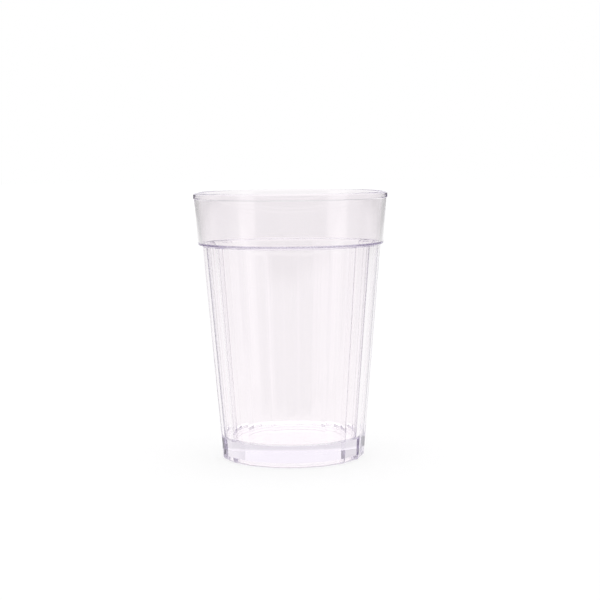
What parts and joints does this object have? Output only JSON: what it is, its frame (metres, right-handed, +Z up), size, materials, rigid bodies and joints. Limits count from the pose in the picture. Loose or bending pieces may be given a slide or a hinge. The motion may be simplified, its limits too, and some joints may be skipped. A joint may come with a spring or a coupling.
{
  "type": "plastic tumbler cup",
  "caption": "Clear moulded plastic drinking tumbler: tapered panelled body, smooth band with a rounded lip at the mouth, thick flat base.",
  "frame": {"origin": "middle of the foot, on the surface that the cup stands on", "axes": "+Z up along the cup's axis, through the open mouth; -Y towards the front of the picture's view, +X to its right"},
  "size_m": [0.082, 0.082, 0.1128],
  "materials": {
    "clear_plastic": "polished"
  },
  "bodies": {
    "root": {"tumbler": "clear_plastic"}
  },
  "joints": []
}
